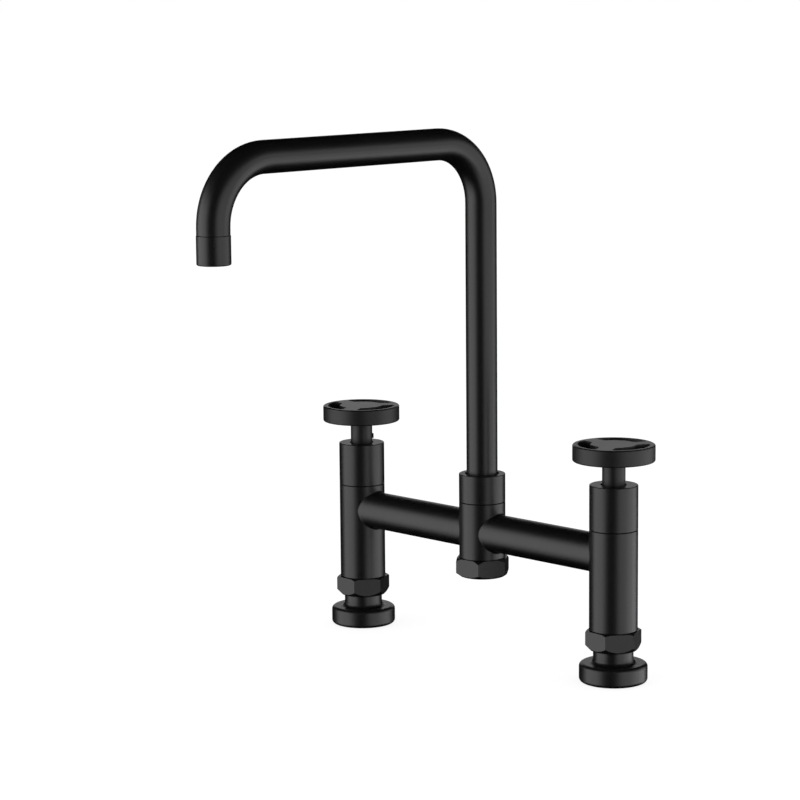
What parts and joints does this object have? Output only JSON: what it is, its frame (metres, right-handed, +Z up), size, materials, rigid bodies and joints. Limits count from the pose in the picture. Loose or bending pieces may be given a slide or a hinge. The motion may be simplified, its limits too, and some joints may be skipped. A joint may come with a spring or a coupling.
{
  "type": "bridge kitchen faucet",
  "caption": "Bridge kitchen faucet in satin black with a tall squared swivel spout, hexagonal union nuts and handwheels with curved windows over quarter-turn valves.",
  "frame": {"origin": "on the sink deck, midway between the two inlets", "axes": "+Z up, +X along the bridge to the user's right (cold side), the spout reaches over the sink towards -Y"},
  "size_m": [0.2492, 0.2322, 0.3062],
  "materials": {
    "satin_black": "satin",
    "brass": "satin",
    "ceramic": "satin",
    "rubber": "matte",
    "steel": "satin",
    "white_plastic": "satin",
    "grey_plastic": "satin"
  },
  "bodies": {
    "bridge": {"left_inlet_base": "satin_black", "left_union_nut": "satin_black", "left_valve_body": "satin_black", "left_valve_cap": "satin_black", "left_bridge_tube": "satin_black", "left_union_nipple": "brass", "left_cartridge_body": "brass", "left_fixed_disc": "ceramic", "left_deck_seal": "rubber", "left_union_washer": "rubber", "left_cartridge_o_ring": "rubber", "left_seat_washer": "rubber", "right_inlet_base": "satin_black", "right_union_nut": "satin_black", "right_valve_body": "satin_black", "right_valve_cap": "satin_black", "right_bridge_tube": "satin_black", "right_union_nipple": "brass", "right_cartridge_body": "brass", "right_fixed_disc": "ceramic", "right_deck_seal": "rubber", "right_union_washer": "rubber", "right_cartridge_o_ring": "rubber", "right_seat_washer": "rubber", "centre_body": "satin_black", "centre_cap_nut": "satin_black", "spout_collar": "satin_black", "centre_cap_washer": "rubber", "lower_glide_ring": "white_plastic", "upper_glide_ring": "white_plastic"},
    "left_handle": {"left_handwheel": "satin_black", "left_grub_screw": "satin_black", "left_spindle": "brass", "left_moving_disc": "ceramic", "left_spindle_o_rings": "rubber", "left_spindle_clip": "steel"},
    "right_handle": {"right_handwheel": "satin_black", "right_grub_screw": "satin_black", "right_spindle": "brass", "right_moving_disc": "ceramic", "right_spindle_o_rings": "rubber", "right_spindle_clip": "steel"},
    "spout": {"spout_tube": "satin_black", "spout_nipple": "brass", "spout_o_rings": "rubber", "aerator_housing": "satin_black", "aerator_washer": "rubber", "aerator_cartridge": "grey_plastic", "aerator_screen": "steel"}
  },
  "joints": [
    {"name": "left_valve", "type": "hinge", "parent": "bridge", "child": "left_handle", "pos_m": [-0.1016, 0, 0.12], "axis": [0, 0, 1], "range_deg": [0, 90]},
    {"name": "right_valve", "type": "hinge", "parent": "bridge", "child": "right_handle", "pos_m": [0.1016, 0, 0.12], "axis": [0, 0, 1], "range_deg": [-90, 0]},
    {"name": "spout_swivel", "type": "hinge", "parent": "bridge", "child": "spout", "pos_m": [0, 0, 0.098], "axis": [0, 0, 1], "continuous": true}
  ]
}
